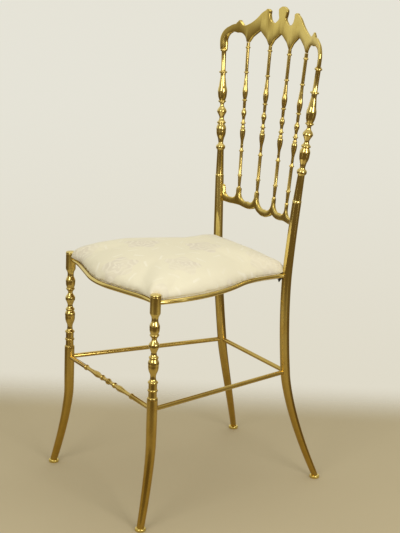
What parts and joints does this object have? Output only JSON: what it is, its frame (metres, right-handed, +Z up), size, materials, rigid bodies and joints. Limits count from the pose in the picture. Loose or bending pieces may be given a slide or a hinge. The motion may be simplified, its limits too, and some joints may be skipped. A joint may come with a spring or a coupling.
{
  "type": "chiavari chair",
  "caption": "Polished brass chiavari chair with turned front legs, curved spindle back, scrolled crest rail and a cream damask seat cushion.",
  "frame": {"origin": "on the floor in the middle of the four feet's outer box, under the seat", "axes": "+Z up, the front of the seat faces -Y and the back stands towards +Y, +X is the sitter's left"},
  "size_m": [0.3792, 0.465, 0.957],
  "materials": {
    "polished_brass": "polished",
    "black_steel": "satin black",
    "plywood": "raw",
    "foam": "matte",
    "damask_fabric": "tone on tone woven"
  },
  "bodies": {
    "root": {"back_post_left": "polished_brass", "back_post_right": "polished_brass", "crest_rail": "polished_brass", "foot_front_left": "polished_brass", "foot_front_right": "polished_brass", "foot_rear_left": "polished_brass", "foot_rear_right": "polished_brass", "front_leg_cap_left": "polished_brass", "front_leg_cap_right": "polished_brass", "front_leg_lower_left": "polished_brass", "front_leg_lower_right": "polished_brass", "front_leg_turning_left": "polished_brass", "front_leg_turning_right": "polished_brass", "lower_back_rail": "polished_brass", "rear_leg_left": "polished_brass", "rear_leg_right": "polished_brass", "seat_board": "plywood", "seat_bracket_front_left": "black_steel", "seat_bracket_front_right": "black_steel", "seat_bracket_rear_left": "black_steel", "seat_bracket_rear_right": "black_steel", "seat_cover": "damask_fabric", "seat_pad": "foam", "seat_rail_front": "polished_brass", "seat_rail_left": "polished_brass", "seat_rail_rear": "polished_brass", "seat_rail_right": "polished_brass", "spindle_1": "polished_brass", "spindle_2": "polished_brass", "spindle_3": "polished_brass", "spindle_4": "polished_brass", "stretcher_front": "polished_brass", "stretcher_left": "polished_brass", "stretcher_rear": "polished_brass", "stretcher_right": "polished_brass"}
  },
  "joints": []
}
